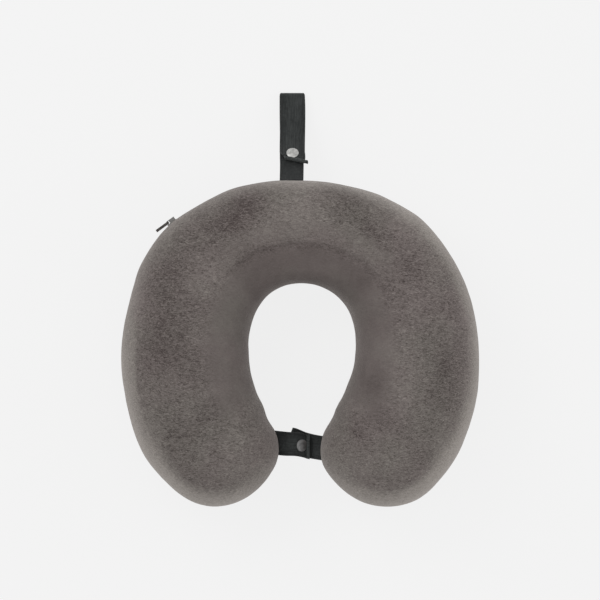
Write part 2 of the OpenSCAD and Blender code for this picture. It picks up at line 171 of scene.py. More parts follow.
# Rows of the cover's mesh: close together by the seam, then even, up to the crest line
NEAR_SEAM = [0.0, 0.9, 1.8, 2.7, 3.4, 4.1, 5.0, 6.4, 8.4, 11.2]
ROW_STEP = 4.2
ROW_RADIUS = 52              # of the section on which the rows are spaced
ARM_COLUMNS = 150
TIP_COLUMNS = 36


def row_angles(power):
    v = np.linspace(0, math.pi / 2, 4000)
    x = ROW_RADIUS * np.cos(v) ** (2 / power)
    z = ROW_RADIUS * np.sin(v) ** (2 / power)
    length = np.concatenate([[0], np.cumsum(np.hypot(np.diff(x), np.diff(z)))])
    rest = length[-1] - NEAR_SEAM[-1]
    n = int(round(rest / ROW_STEP))
    wanted = NEAR_SEAM + [NEAR_SEAM[-1] + rest * (i + 1) / n for i in range(n)]
    return np.interp(wanted, length, v)


def ring_row(v, under):
    """One closed row round the whole outline, at section angle v."""
    power = UNDER_POWER if under else TOP_POWER
    rho, h = math.cos(v) ** (2 / power), math.sin(v) ** (2 / power)
    a = np.linspace(-TIP, TIP, ARM_COLUMNS + 1)
    theta = np.linspace(0, 180, TIP_COLUMNS + 1)[1:-1]
    z = rise_height(a, h, under)
    return np.concatenate([
        tube_section(a, rho, z, 1),
        tip_points(1, theta, h, under),
        tube_section(a, rho, z, -1)[::-1],
        tip_points(-1, theta[::-1], h, under),
    ])


def cover_mesh():
    """The cover as one closed mesh whose rows run parallel to the seam, welded at the crests."""
    n_arm, n_tip = ARM_COLUMNS + 1, TIP_COLUMNS - 1
    count = 2 * (n_arm + n_tip)
    rows = []
    for under in (True, False):
        angles = row_angles(UNDER_POWER if under else TOP_POWER)[:-1]
        made = [ring_row(v, under) for v in angles]
        rows += made[:0:-1] if under else made
    points = np.concatenate(rows)
    crests = []
    a = np.linspace(-TIP, TIP, n_arm)
    for under in (True, False):
        crests.append(tube_section(a, 0.0, rise_height(a, 1.0, under), 1))
    faces = []
    for r in range(len(rows) - 1):
        for j in range(count):
            k = (j + 1) % count
            faces.append((r * count + j, (r + 1) * count + j, (r + 1) * count + k, r * count + k))
    base = len(points)

    def crest_of(j, start):
        if j < n_arm:
            return start + j
        if j < n_arm + n_tip:
            return start + n_arm - 1
        if j < 2 * n_arm + n_tip:
            return start + n_arm - 1 - (j - n_arm - n_tip)
        return start

    for start, row, flip in ((base, 0, False), (base + n_arm, len(rows) - 1, True)):
        for j in range(count):
            k = (j + 1) % count
            a0, a1 = row * count + j, row * count + k
            c0, c1 = crest_of(j, start), crest_of(k, start)
            face = [a0, a1, c1] if c0 == c1 else [a0, a1, c1, c0]
            faces.append(tuple(reversed(face)) if flip else tuple(face))
    return np.concatenate([points, *crests]), faces


def new_object(name, points, faces, smooth=True):
    mesh = bpy.data.meshes.new(name)
    mesh.from_pydata([tuple(p) for p in np.asarray(points) * MM], [], faces)
    mesh.validate()
    mesh.update()
    if smooth:
        mesh.shade_smooth()
    obj = bpy.data.objects.new(name, mesh)
    bpy.context.scene.collection.objects.link(obj)
    return obj


def coordinates(obj):
    co = np.zeros(len(obj.data.vertices) * 3)
    obj.data.vertices.foreach_get("co", co)
    return co.reshape(-1, 3) / MM


def set_coordinates(obj, points):
    obj.data.vertices.foreach_set("co", (np.asarray(points) * MM).ravel())
    obj.data.update()


def normals(obj):
    n = np.zeros(len(obj.data.vertices) * 3)
    obj.data.vertices.foreach_get("normal", n)
    return n.reshape(-1, 3)


def apply_modifier(obj, modifier):
    bpy.context.view_layer.objects.active = obj
    for o in bpy.context.selected_objects:
        o.select_set(False)
    obj.select_set(True)
    bpy.ops.object.modifier_apply(modifier=modifier.name)


def field(points, size, seed):
    """Smooth noise from -1 to 1 with features of about this size, in mm."""
    shift = Vector((seed * 17.3, seed * 5.1, seed * 9.7))
    return np.array([noise.noise(Vector(p) / size + shift) for p in points])


# The cloth settles for so many frames; points so near the seam are held, the others stay within mm
CLOTH_FRAMES, SEWN, CLOTH_CAP = 20, 3, 1.2


def cloth_pass(obj, cap):
    """Lets the cover settle as cloth under light pressure, keeping each point within cap mm."""
    before = coordinates(obj)
    from_seam = np.abs(before[:, 2] - SEAM_Z)
    group = obj.vertex_groups.new(name="sewn")
    for i in np.nonzero(from_seam < SEWN)[0]:
        group.add([int(i)], 1.0, "REPLACE")
    cloth = obj.modifiers.new("cloth", "CLOTH")
    cloth.settings.quality = 5
    cloth.settings.use_pressure = True
    cloth.settings.uniform_pressure_force = 4
    cloth.settings.tension_stiffness = 12
    cloth.settings.shear_stiffness = 6
    cloth.settings.bending_stiffness = 2
    cloth.settings.vertex_group_mass = "sewn"
    cloth.settings.effector_weights.gravity = 0
    for f in range(1, CLOTH_FRAMES + 1):
        bpy.context.scene.frame_set(f)
    apply_modifier(obj, cloth)
    bpy.context.scene.frame_set(1)
    obj.vertex_groups.clear()
    moved = coordinates(obj) - before
    moved -= normals(obj) * (moved * normals(obj)).sum(-1).mean()
    length = np.linalg.norm(moved, axis=1, keepdims=True)
    moved *= cap * np.tanh(length / cap) / np.maximum(length, 1e-9)
    set_coordinates(obj, before + moved)


def azimuth(p):
    return np.degrees(np.arctan2(p[:, 0], p[:, 1] - RING_Y))


def radius(p):
    return np.hypot(p[:, 0], p[:, 1] - RING_Y)


def across(p):
    """-1 at the inner outline, 0 on the middle of the tube, 1 at the outer outline."""
    a = np.clip(azimuth(p), -TIP, TIP)
    return (radius(p) - curve(MIDDLE, a, TIP_FLARE)) / curve(HALF_W, a)


# How the real pillow's outline differs from the frame's even one: azimuth, width, mm outwards
UNEVEN_OUTER = [
    (-23, 9, 1.9), (-10, 6, 1.0), (-54, 6, -2.0), (-63, 4.5, 1.7), (-76, 7, -0.9),
    (-108, 10, -1.9), (-126, 7, 0.7), (-138, 9, -2.0), (57, 9, -0.7), (28, 6, 0.5),
    (127, 9, 1.2), (140, 8, 0.6),
]
# The same for the neck hole, still outwards from the ring's centre
UNEVEN_INNER = [(50, 40, 1.6), (110, 32, 1.1), (-62, 30, -2.4), (-105, 22, -1.4)]
# And round each tip: side, degrees round the tip's middle up from the inner side, width, mm out
UNEVEN_TIP = [(1, 25, 13, -3.6), (-1, 25, 13, -3.9), (1, -15, 17, 2.7), (-1, -12, 17, 1.5)]
# The sewn seam's groove, the lower panel's tuck under it, and the zip's gap with its raised lip
SEAM_DEPTH, SEAM_WIDTH = 0.5, 1.1
TUCK, TUCK_FALL = 0.55, 9.0
GAP_HALF, GAP_DEPTH, GAP_FADE = 3.7, 3.3, 6.0
GAP_LIP, GAP_LIP_AT, GAP_LIP_WIDTH = 0.35, 1.6, 1.2
SEAM_REACH = 16
# The fabric's slack and the seam's pucker: mm, size of the waves in mm, seed of the noise
SLACK = [(0.35, 38, 1), (0.16, 15, 2)]
PUCKER, PUCKER_SIZE, PUCKER_SEED, PUCKER_FALL = 0.2, 7, 3, 5
FLAT_UNDER = 6
# The ridge round the neck side of the back, below which the foam falls away more steeply
RIDGE_SIDE, RIDGE_SOFT, RIDGE_DROP = -0.22, 0.1, 2.4
RIDGE_ENDS, RIDGE_FADE = (-38, 44), 12


def between(value, low, high, fade):
    """1 between low and high, easing to 0 over the fade inside each end."""
    return ease((value - low) / fade) * ease((high - value) / fade)


def round_tip(p, which):
    """From the middle of a tip (1 right, -1 left): the share of the half width, the degrees round
    from the inner side, and the unit vector out."""
    d = (p[:, :2] - middle(np.array(which * TIP))) * np.array([-which, 1])
    far = np.hypot(d[:, 0], d[:, 1])
    away = d * np.array([-which, 1]) / np.maximum(far, 1e-9)[:, None]
    return far / HALF_W[-1], np.degrees(np.arctan2(d[:, 1], d[:, 0])), away


def below_ridge(a, side):
    """How far a point is over the ridge's edge, from 0 to 1."""
    span = between(a, RIDGE_ENDS[0] - RIDGE_FADE, RIDGE_ENDS[1] + RIDGE_FADE, RIDGE_FADE)
    return span * ease((RIDGE_SIDE - side) / RIDGE_SOFT + 0.5)


def shape_cover(obj):
    """Outline, sewn seam, zip opening and the slack of the fabric, on the final mesh."""
    p = coordinates(obj)
    a, side = azimuth(p), across(p)
    out = np.stack([p[:, 0], p[:, 1] - RING_Y, np.zeros(len(p))], -1)
    out /= np.maximum(np.linalg.norm(out, axis=1, keepdims=True), 1e-9)
    share = ease((side + 0.6) / 1.6)  # all of it at the outer outline, fading over the crest
    for at, width, amount in UNEVEN_OUTER:
        p += out * (share * amount * bell(a, at, width))[:, None]
    share = ease((0.2 - side) / 1.2) * (np.abs(a) < 150)
    for at, width, amount in UNEVEN_INNER:
        p += out * (share * amount * bell(a, at, width))[:, None]
    for which, at, width, amount in UNEVEN_TIP:
        far, turn, away = round_tip(p, which)
        push = amount * bell(turn, at, width) * ease((far - 0.3) / 0.7)
        p[:, :2] += (push * (far < 1.25))[:, None] * away
    n = normals(obj)
    dz = p[:, 2] - SEAM_Z
    high = ease(dz / 25)
    p[:, 2] -= RIDGE_DROP * high * below_ridge(a, side) * ease((side + 1.05) / 0.5)
    slack = sum(amount * field(p, size, seed) for amount, size, seed in SLACK)
    pucker = field(p, PUCKER_SIZE, PUCKER_SEED) * np.exp(-np.abs(dz) / PUCKER_FALL)
    lift = np.clip(p[:, 2] / FLAT_UNDER, 0, 1)
    p += n * ((slack + PUCKER * pucker) * lift)[:, None]
    open_zip = between(a, *GAP, GAP_FADE) * (side > 0)
    groove = SEAM_DEPTH * bell(dz, 0, SEAM_WIDTH) * (1 - open_zip)
    groove += TUCK * ease(-dz / 1.2) * bell(dz, -1, TUCK_FALL)
    wall = ease((GAP_HALF + 0.35 - np.abs(dz)) / 0.8)
    lip = GAP_LIP * bell(dz - GAP_HALF, GAP_LIP_AT, GAP_LIP_WIDTH)
    groove += open_zip * (GAP_DEPTH * wall - lip)
    flat_n = n * np.array([1, 1, 0])
    flat_n /= np.maximum(np.linalg.norm(flat_n, axis=1, keepdims=True), 1e-9)
    near = (np.abs(dz) < SEAM_REACH)[:, None]
    p -= np.where(near, flat_n * groove[:, None], 0)
    p[:, 2] = np.maximum(p[:, 2], 0)
    set_coordinates(obj, p)


# Where the nap is brushed lighter or darker: azimuth, place across the tube, their two sizes
# (degrees and shares of the half width), and how much
BRUSHED = [
    (2, 0.8, 5, 0.3, 0.7), (0, 0.3, 11, 0.35, 0.7), (-21, 0.08, 14, 0.16, 0.35),
    (24, 0.1, 13, 0.16, 0.35), (38, 0.8, 7, 0.22, 0.5), (48, 0.82, 8, 0.25, 0.5),
    (95, -0.35, 16, 0.3, 0.45), (112, -0.1, 14, 0.25, 0.4), (72, 0.1, 9, 0.16, 0.3),
    (-58, 0.0, 8, 0.25, 0.4), (-46, -0.15, 8, 0.2, 0.3), (147, 0.2, 14, 0.4, 0.25),
    (-150, 0.1, 14, 0.5, 0.2), (-20, 0.72, 7, 0.3, -0.9), (-31, 0.5, 9, 0.3, -0.7),
    (17, 0.66, 8, 0.26, -0.6), (30, 0.38, 8, 0.18, -0.45), (52, 0.3, 9, 0.13, -0.45),
    (-68, 0.42, 12, 0.35, -0.7), (-90, 0.3, 12, 0.35, -0.6), (-104, -0.15, 8, 0.25, -0.4),
    (97, 0.48, 10, 0.25, -0.6), (112, 0.35, 7, 0.2, -0.4), (116, -0.6, 9, 0.2, -0.5),
    (146, -0.45, 7, 0.2, -0.5), (-126, -0.2, 9, 0.25, -0.35), (-48, 0.6, 8, 0.3, -0.4),
    (-126, 0.3, 12, 0.4, -0.25), (0, -0.8, 30, 0.22, 0.4),
]
# Painted sheen on the outer rim: azimuth, width, how much, where it starts and over what share it
# rises
PAINTED_SHEEN_RIMS = [
    (-97, 16, 2.1, 0.74, 0.06), (-75, 12, 0.6, 0.8, 0.12), (-35, 18, 0.4, 0.85, 0.1),
    (-5, 14, 1.1, 0.82, 0.15), (45, 30, 2.6, 0.72, 0.28), (95, 35, 2.6, 0.74, 0.26),
    (125, 20, 2.5, 0.72, 0.25), (-125, 20, 2.1, 0.68, 0.28),
]
# The same painted sheen round the tips: degrees round from the inner side, width, how much, start
# and share
PAINTED_TIP_SHEEN = (-105, 60, 5.2, 0.66, 0.28)
# The nap's uneven tone: how much, size in mm, seed
MOTTLED = [(0.4, 30, 11), (0.35, 12, 12), (0.25, 6, 13)]
NECK_SHADE, RIDGE_SHADE, TIP_LIGHT, BRUSHING = -0.45, -0.65, 0.35, 1.65
# The painted sheen on the rims fades from the first to the second height under the seam, in mm
RIM_GONE, RIM_WHOLE = 38, 2
# Over this tone it levels off, by no more than the second number
TONE_KNEE, TONE_OVER = 2.5, 1.5
PILE_LEAST = 0.2


def brush(obj):
    """Writes the velour's tone (its brushed nap, with painted sheen on the rims and painted shade
    on the neck side and below the ridge) and 'pile' (how strong its grain is).
    """
    p = coordinates(obj)
    a, side = azimuth(p), across(p)
    tone = sum(amount * field(p, size, seed) for amount, size, seed in MOTTLED)
    for at, place, wide, deep, amount in BRUSHED:
        spot = ((a - at) / wide) ** 2 + ((side - place) / deep) ** 2
        tone += BRUSHING * amount * np.exp(-spot)
    low = ease((p[:, 2] - SEAM_Z + RIM_GONE) / (RIM_GONE - RIM_WHOLE))
    # painted sheen on the outer rims
    for at, wide, amount, start, rise_over in PAINTED_SHEEN_RIMS:
        tone += low * amount * bell(a, at, wide) * ease((side - start) / rise_over)
    # painted shade on the inner wall round the neck hole
    tone += NECK_SHADE * ease((-side - 0.62) / 0.35) * (1 - ease((np.abs(a) - 118) / 25))
    # painted shade below the ridge's edge
    tone += RIDGE_SHADE * below_ridge(a, side)
    # painted sheen round the tips
    for which in (1, -1):
        far, turn, _ = round_tip(p, which)
        at, wide, amount, start, rise_over = PAINTED_TIP_SHEEN
        turn = np.where(turn > 90, turn - 360, turn)
        near = ease((1.75 - far) / 0.6) * low
        tone += near * amount * bell(turn, at, wide) * ease((far - start) / rise_over)
    tips = ease((np.abs(a) - 125) / 20)
    tone += TIP_LIGHT * tips * ease((0.7 - side) / 0.4)
    levelled = TONE_KNEE + TONE_OVER * np.tanh((tone - TONE_KNEE) / TONE_OVER)
    tone = np.where(tone > TONE_KNEE, levelled, tone)
    # the pile lies flatter on the neck side and across the inner half of the back
    pile = 1 - 0.72 * ease((-side - 0.2) / 0.3) * (1 - tips)
    pile -= 0.3 * between(a, -50, 60, 15) * (side < 0.2)
    for name, values in (("nap_and_painted_light", tone), ("pile", np.clip(pile, PILE_LEAST, 1))):
        layer = obj.data.attributes.new(name, "FLOAT", "POINT")
        layer.data.foreach_set("value", values.astype(np.float32))


# ---------------------------------------------------------------- materials
class Tree:
    """A material's node tree with short calls for the nodes that this scene uses."""

    def __init__(self, name, color, rough, metal=0.0):
        self.material = bpy.data.materials.new(name)
        self.material.use_nodes = True
        self.nodes, self.links = self.material.node_tree.nodes, self.material.node_tree.links
        self.shader = self.nodes["Principled BSDF"]
        self.shader.inputs["Base Color"].default_value = (*color, 1)
        self.shader.inputs["Roughness"].default_value = rough
        self.shader.inputs["Metallic"].default_value = metal
        self.place = self.nodes.new("ShaderNodeTexCoord").outputs["Object"]

    def set(self, **values):
        for key, value in values.items():
            self.shader.inputs[key.replace("_", " ")].default_value = value

    def feed(self, socket, value):
        if isinstance(value, bpy.types.NodeSocket):
            self.links.new(value, socket)
        elif value is not None:
            socket.default_value = value

    def attribute(self, name, output="Fac"):
        node = self.nodes.new("ShaderNodeAttribute")
        node.attribute_name = name
        return node.outputs[output]

    def mapped(self, vector, scale=(1, 1, 1), turn=(0, 0, 0)):
        node = self.nodes.new("ShaderNodeMapping")
        self.links.new(vector, node.inputs["Vector"])
        node.inputs["Scale"].default_value = scale
        node.inputs["Rotation"].default_value = turn
        return node.outputs["Vector"]

    def noise(self, scale, detail=2.0, rough=0.5, vector=None, warp=0.0):
        node = self.nodes.new("ShaderNodeTexNoise")
        self.links.new(vector or self.place, node.inputs["Vector"])
        node.inputs["Scale"].default_value = scale
        node.inputs["Detail"].default_value = detail
        node.inputs["Roughness"].default_value = rough
        node.inputs["Distortion"].default_value = warp
        return node.outputs["Fac"]

    def wave(self, vector, scale, axis="X", warp=0.0):
        node = self.nodes.new("ShaderNodeTexWave")
        node.bands_direction = axis
        self.links.new(vector, node.inputs["Vector"])
        node.inputs["Scale"].default_value = scale
        node.inputs["Distortion"].default_value = warp
        return node.outputs["Fac"]

    def separate(self, vector):
        node = self.nodes.new("ShaderNodeSeparateXYZ")
        self.links.new(vector, node.inputs[0])
        return node.outputs

    def math(self, kind, a, b=None):
        node = self.nodes.new("ShaderNodeMath")
        node.operation = kind
        for socket, value in zip(node.inputs, (a, b)):
            self.feed(socket, value)
        return node.outputs[0]

    def span(self, value, low, high, to_low=0.0, to_high=1.0):
        node = self.nodes.new("ShaderNodeMapRange")
        for socket, v in zip(node.inputs, (value, low, high, to_low, to_high)):
            self.feed(socket, v)
        return node.outputs[0]

    def blend(self, factor, a, b, kind="MIX"):
        node = self.nodes.new("ShaderNodeMix")
        node.data_type = "RGBA"
        node.blend_type = kind
        self.feed(node.inputs[0], factor)
        for socket, value in ((node.inputs[6], a), (node.inputs[7], b)):
            self.feed(socket, (*value, 1) if isinstance(value, tuple) else value)
        return node.outputs[2]

    def color(self, socket):
        self.links.new(socket, self.shader.inputs["Base Color"])

    def rough(self, socket):
        self.links.new(socket, self.shader.inputs["Roughness"])

    def bump(self, *layers):
        """Layers of (height, strength, distance in m), one over the other."""
        last = None
        for height, strength, distance in layers:
            node = self.nodes.new("ShaderNodeBump")
            node.inputs["Strength"].default_value = strength
            node.inputs["Distance"].default_value = distance
            self.links.new(height, node.inputs["Height"])
            if last:
                self.links.new(last, node.inputs["Normal"])
            last = node.outputs["Normal"]
        self.links.new(last, self.shader.inputs["Normal"])


# The velour's darkest and lightest colours and the tone they span: its brushed nap, with painted
# sheen and painted shade
NAP_AND_SHADE_DARK, NAP_AND_SHEEN_LIGHT = (0.058, 0.047, 0.0445), (0.353, 0.318, 0.302)
NAP_AND_LIGHT_RANGE = (-2.6, 5.6)


def velour():
    """Reads the attributes that brush() writes."""
    t = Tree("velour", (0.14, 0.122, 0.112), 0.88)
    strands = t.mapped(t.place, (1, 2.3, 1.5), (0, 0, 0.6))
    fine = t.noise(500, 3, 0.7, strands, 1.2)
    clump = t.noise(210, 2, 0.5, strands, 1.6)
    grain = t.math("ADD", t.span(fine, 0.3, 0.7, -2.7, 2.7), t.span(clump, 0.3, 0.7, -1.1, 1.1))
    grain = t.math("MULTIPLY", grain, t.attribute("pile"))
    tone = t.span(t.math("ADD", t.attribute("nap_and_painted_light"), grain), *NAP_AND_LIGHT_RANGE)
    base = t.blend(tone, NAP_AND_SHADE_DARK, NAP_AND_SHEEN_LIGHT)
    hue = t.math("ADD", t.noise(16, 2, 0.5), t.math("MULTIPLY", t.attribute("nap_and_painted_light"), 0.1))
    hue = t.span(hue, 0.36, 0.64)
    warmer = t.blend(1.0, base, (1.0, 0.965, 0.965), "MULTIPLY")
    greener = t.blend(1.0, base, (0.985, 1.0, 0.965), "MULTIPLY")
    t.color(t.blend(hue, warmer, greener))
    t.rough(t.span(fine, 0.3, 0.7, 0.8, 0.95))
    t.set(Sheen_Weight=0.35, Sheen_Roughness=0.45, Sheen_Tint=(0.95, 0.88, 0.84, 1))
    t.set(Specular_IOR_Level=0.15)
    t.bump((clump, 0.45, 0.0007), (fine, 0.65, 0.0005))
    return t.material


def webbing_cloth():
    """Reads a band's 'weave', which is mm across and along it, and its lightness: the strip's
    shade, the hem's roll lighter, partly frayed and partly a painted highlight, and painted shade
    in the crease before a hem.
    """
    t = Tree("webbing", (0.03, 0.034, 0.034), 0.8)
    weave = t.attribute("weave", "Vector")
    ribs = t.wave(t.mapped(weave, (1, 0, 0)), 0.33, "X")
    picks = t.wave(t.mapped(weave, (0.55, 1, 0)), 0.42, "Y", 0.4)
    cross = t.math("MULTIPLY", ribs, picks)
    fuzz = t.noise(900, 2, 0.6)
    wear = t.noise(70, 3, 0.6)
    streak = t.noise(1.0, 3, 0.6, t.mapped(weave, (0.9, 0.07, 0)))
    middle_of = t.math("ABSOLUTE", t.separate(weave)[0])
    tone = t.math("ADD", t.span(cross, 0, 1, 0.1, 0.5), t.span(fuzz, 0.3, 0.7, -0.25, 0.25))
    tone = t.math("ADD", tone, t.span(wear, 0.4, 0.7, -0.1, 0.25))
    tone = t.math("ADD", tone, t.span(streak, 0.35, 0.65, -0.2, 0.3))
    tone = t.math("ADD", tone, t.span(middle_of, 4.0, 10.0, 0.1, -0.2))
    patchy = t.span(t.noise(600, 2, 0.7), 0.35, 0.65, 0.1, 0.9)
    # wear, with painted shade in hem creases and a painted highlight on hem rolls
    worn_and_painted_light = t.math("MULTIPLY", t.attribute("fray_and_painted_light"), patchy)
    tone = t.math("ADD", tone, worn_and_painted_light)
    t.color(t.blend(tone, (0.016, 0.018, 0.018), (0.062, 0.068, 0.067)))
    t.rough(t.span(fuzz, 0.3, 0.7, 0.7, 0.9))
    t.set(Sheen_Weight=0.2, Sheen_Roughness=0.4, Specular_IOR_Level=0.3)
    t.bump((ribs, 0.5, 0.0004), (cross, 0.6, 0.0003), (fuzz, 0.3, 0.0001))
    return t.material


def metal(name, color, rough, scratch=0.3):
    t = Tree(name, color, rough, 1.0)
    grain = t.noise(2600, 3, 0.7)
    cloud = t.noise(420, 3, 0.6)
    scuffs = t.noise(500, 4, 0.7, t.mapped(t.place, (1, 7, 1), (0.3, 0.2, 0.9)))
    dark = tuple(c * 0.72 for c in color)
    light = tuple(min(1, c * 1.12) for c in color)
    t.color(t.blend(t.span(cloud, 0.35, 0.65), dark, light))
    t.rough(t.span(scuffs, 0.35, 0.65, rough - 0.08, rough + 0.14))
    t.bump((scuffs, scratch * 0.4, 0.00005), (grain, scratch, 0.00004))
    return t.material


def woven(name, dark, light, pitch):
    """Plain cloth for tapes and knits, with threads pitch mm apart, in row-frame space."""
    t = Tree(name, dark, 0.9)
    rows = t.wave(t.place, 50 / pitch, "Z", 0.3)
    mesh = t.noise(1000 / pitch, 1, 0.4)
    fuzz = t.noise(700, 2, 0.6)
    tone = t.math("ADD", t.math("MULTIPLY", rows, mesh), t.span(fuzz, 0.3, 0.7, -0.15, 0.15))
    t.color(t.blend(tone, dark, light))
    t.rough(t.span(fuzz, 0.3, 0.7, 0.8, 0.95))
    t.set(Sheen_Weight=0.15)
    t.bump((rows, 0.4, 0.0002), (mesh, 0.5, 0.0002))
    return t.material


def foam():
    t = Tree("foam", (0.86, 0.83, 0.72), 0.95)
    cells = t.nodes.new("ShaderNodeTexVoronoi")
    t.links.new(t.place, cells.inputs["Vector"])
    cells.inputs["Scale"].default_value = 900
    pores = cells.outputs["Distance"]
    tone = t.noise(30, 2, 0.5)
    t.color(t.blend(tone, (0.78, 0.74, 0.6), (0.9, 0.87, 0.76)))
    t.rough(t.span(pores, 0, 0.6, 0.98, 0.85))
    t.bump((pores, 0.6, 0.0004))
    return t.material


def nylon():
    t = Tree("nylon", (0.05, 0.046, 0.043), 0.45)
    cloud = t.noise(300, 2, 0.5)
    t.color(t.blend(cloud, (0.035, 0.032, 0.03), (0.075, 0.07, 0.065)))
    t.rough(t.span(cloud, 0.3, 0.7, 0.38, 0.55))
    t.bump((t.noise(2200, 2, 0.6), 0.25, 0.00004))
    return t.material


def dress(obj, material):
    obj.data.materials.clear()
    obj.data.materials.append(material)
    for polygon in obj.data.polygons:
        polygon.material_index = 0


# ---------------------------------------------------------------- the pillow
def make_cover():
    points, faces = cover_mesh()
    cover = new_object("plush_cover", points, faces)
    cloth_pass(cover, CLOTH_CAP)
    subdivide = cover.modifiers.new("finer", "SUBSURF")
    subdivide.levels = subdivide.render_levels = 1
    apply_modifier(cover, subdivide)
    shape_cover(cover)
    brush(cover)
    cover.data.shade_smooth()
    dress(cover, VELOUR)
    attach(cover, "pillow")
    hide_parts("cover_top", "cover_bottom")


# ---------------------------------------------------------------- webbing
WEB_T = 1.3
CORNER = 0.45
# The painted shade in the crease before a hem: how dark, and its width as a share of the hem's
# roll
CREASE_PAINTED_SHADE, CREASE_WIDTH = 1.6, 0.16


def band_profile(width, thickness):
    """Cross-section of webbing: rounded selvedges, and a fine channel inside each of them."""
    half_w, half_t = width / 2, thickness / 2
    n = 26
    top = []
    for i in range(n + 1):
        x = -half_w + CORNER + (width - 2 * CORNER) * i / n
        channel = math.exp(-(((abs(x) - half_w + 2.2) / 0.5) ** 2))
        top.append((x, half_t * (1 - 0.14 * channel)))
    side = [
        (half_w - CORNER + CORNER * math.sin(t), (half_t - 0.02) * math.cos(t))
        for t in (math.pi / 5 * i for i in range(1, 5))
    ]
    right = top + side
    return right + [(-x, -y) for x, y in right]


def band(name, stations, width, roll=1.5, thicker=1.0, shade=0.0, thickness=WEB_T):
    """A strip through stations of (centre, across, normal, mm along), with closed ends. Its last
    mm are hemmed: the roll of the hem is that long, and this many times as thick. Shade lightens
    the whole strip, or darkens it below 0; a thicker hem has painted shade in the crease before
    it, and the hem's roll is lighter, partly frayed and partly a painted highlight."""
    profile = band_profile(width, thickness)
    n = len(profile)
    points, weave, worn_and_painted_light, faces = [], [], [], []
    end_at = stations[-1][3]
    for centre, side, normal, length in stations:
        t = (length - end_at + roll) / roll
        swell, fray_and_painted_light = 1.0, shade
        if thicker > 1:
            # painted shade in the crease before the hem
            fray_and_painted_light -= CREASE_PAINTED_SHADE * math.exp(-((t / CREASE_WIDTH) ** 2))
        if t > 0:
            swell = 1 + (thicker - 1) * float(ease(t / 0.35))
            swell *= math.sqrt(max(0.06, 1 - max(0.0, (t - 0.5) / 0.5) ** 2))
            # the hem's roll lighter: partly frayed, partly a painted highlight
            fray_and_painted_light += float(ease(t / 0.3))
        for x, y in profile:
            points.append(np.array(centre) + np.array(side) * x + np.array(normal) * y * swell)
            weave.append((x, length, y))
            worn_and_painted_light.append(fray_and_painted_light)
    for i in range(len(stations) - 1):
        for j in range(n):
            k = (j + 1) % n
            faces.append((i * n + j, (i + 1) * n + j, (i + 1) * n + k, i * n + k))
    last = (len(stations) - 1) * n
    ends = [tuple(range(n)), tuple(last + j for j in reversed(range(n)))]
    obj = new_object(name, points, faces + ends)
    bm = bmesh.new()
    bm.from_mesh(obj.data)
    bmesh.ops.recalc_face_normals(bm, faces=bm.faces)
    bm.faces.ensure_lookup_table()
    for face in bm.faces:
        if len(face.verts) > 4:
            for edge in face.edges:
                edge.smooth = False
    bm.to_mesh(obj.data)
    bm.free()
    layer = obj.data.attributes.new("weave", "FLOAT_VECTOR", "POINT")
    layer.data.foreach_set("vector", np.array(weave, np.float32).ravel())
    layer = obj.data.attributes.new("fray_and_painted_light", "FLOAT", "POINT")
    layer.data.foreach_set("value", np.array(worn_and_painted_light, np.float32))
    dress(obj, WEBBING)
    return obj


def nothing(u):
    return 0.0


def even(u):
    return 1.0


def strip_stations(path, side, turn=nothing, shift=nothing, lift=nothing, width=even):
    """Stations along a planar path of (point, normal) pairs. Each of the four functions takes
    the distance along: the twist in the strip's own plane, its moves sideways and along the
    normal, and its share of the full width."""
    stations, length = [], 0.0
    for i, (point, normal) in enumerate(path):
        if i:
            length += float(np.linalg.norm(np.array(point) - np.array(path[i - 1][0])))
        n = np.array(normal, float)
        tangent = np.cross(side, n)
        slope = math.atan((lift(length + 0.05) - lift(length - 0.05)) / 0.1)
        if i + 1 < len(path):  # the last station keeps the direction of the one before
            ahead = np.dot(tangent, np.array(path[i + 1][0]) - np.array(point))
            fore = -tangent if ahead < 0 else tangent
        leaning = n * math.cos(slope) - fore * math.sin(slope)
        angle = turn(length)
        s = np.array(side) * math.cos(angle) + tangent * math.sin(angle)
        s = s - leaning * float(np.dot(s, leaning))
        s = s / np.linalg.norm(s)
        place = np.array(point) + np.array(side) * shift(length) + n * lift(length)
        stations.append((place, s * width(length), leaning, length))
    return stations


def path_length(path):
    return sum(
        float(np.linalg.norm(np.array(b[0]) - np.array(a[0]))) for a, b in zip(path, path[1:])
    )


def rise(u, start, over, height):
    """Height of an end that curls up: 0 until start, then smoothly towards a straight slope."""
    t = max(0.0, u - start)
    return height * t * t / (over * (t + over * 0.35))


LOOP_X, LOOP_W, LOOP_R = -6.3, 21.0, 150.0
ROOT_DROP, FOLD_DROP, SNAP_DROP, END_DROP = 48.0, 16.15, 38.0, 41.3
PITCH = 3.0 + WEB_T
LOOP_ROOT = np.array([ZIP_Y + ZIP_R + 0.35 + WEB_T / 2, SEAM_Z - 5.5])


def polar(drop):
    """Unit vector, in (y, z), from the strap's bend centre to where it drops at this angle."""
    return np.array([-math.sin(math.radians(drop)), -math.cos(math.radians(drop))])


LOOP_C = LOOP_ROOT - LOOP_R * polar(ROOT_DROP)
FOLD_C = LOOP_C + (LOOP_R - PITCH / 2) * polar(FOLD_DROP)


def yz(p, x=LOOP_X):
    return (x, p[0], p[1])


# The flap's end: its slant in degrees and over how many mm it comes, its curl (mm past the snap,
# over how many mm, how high), and its hem (mm of roll, times as thick)
FLAP_SLANT, FLAP_SLANT_OVER = 20, 5
FLAP_CURL, FLAP_HEM = (4.4, 4.0, 1.1), (2.7, 2.6)
# How far the hem is pulled aside: a little from near the snap on, the rest in the last mm
FLAP_ASIDE, HEM_ASIDE = 0.9, 2.4
FOLD_PINCH, FOLD_PINCH_WIDTH = 0.085, 1.9
BASE_SHADE = -0.7


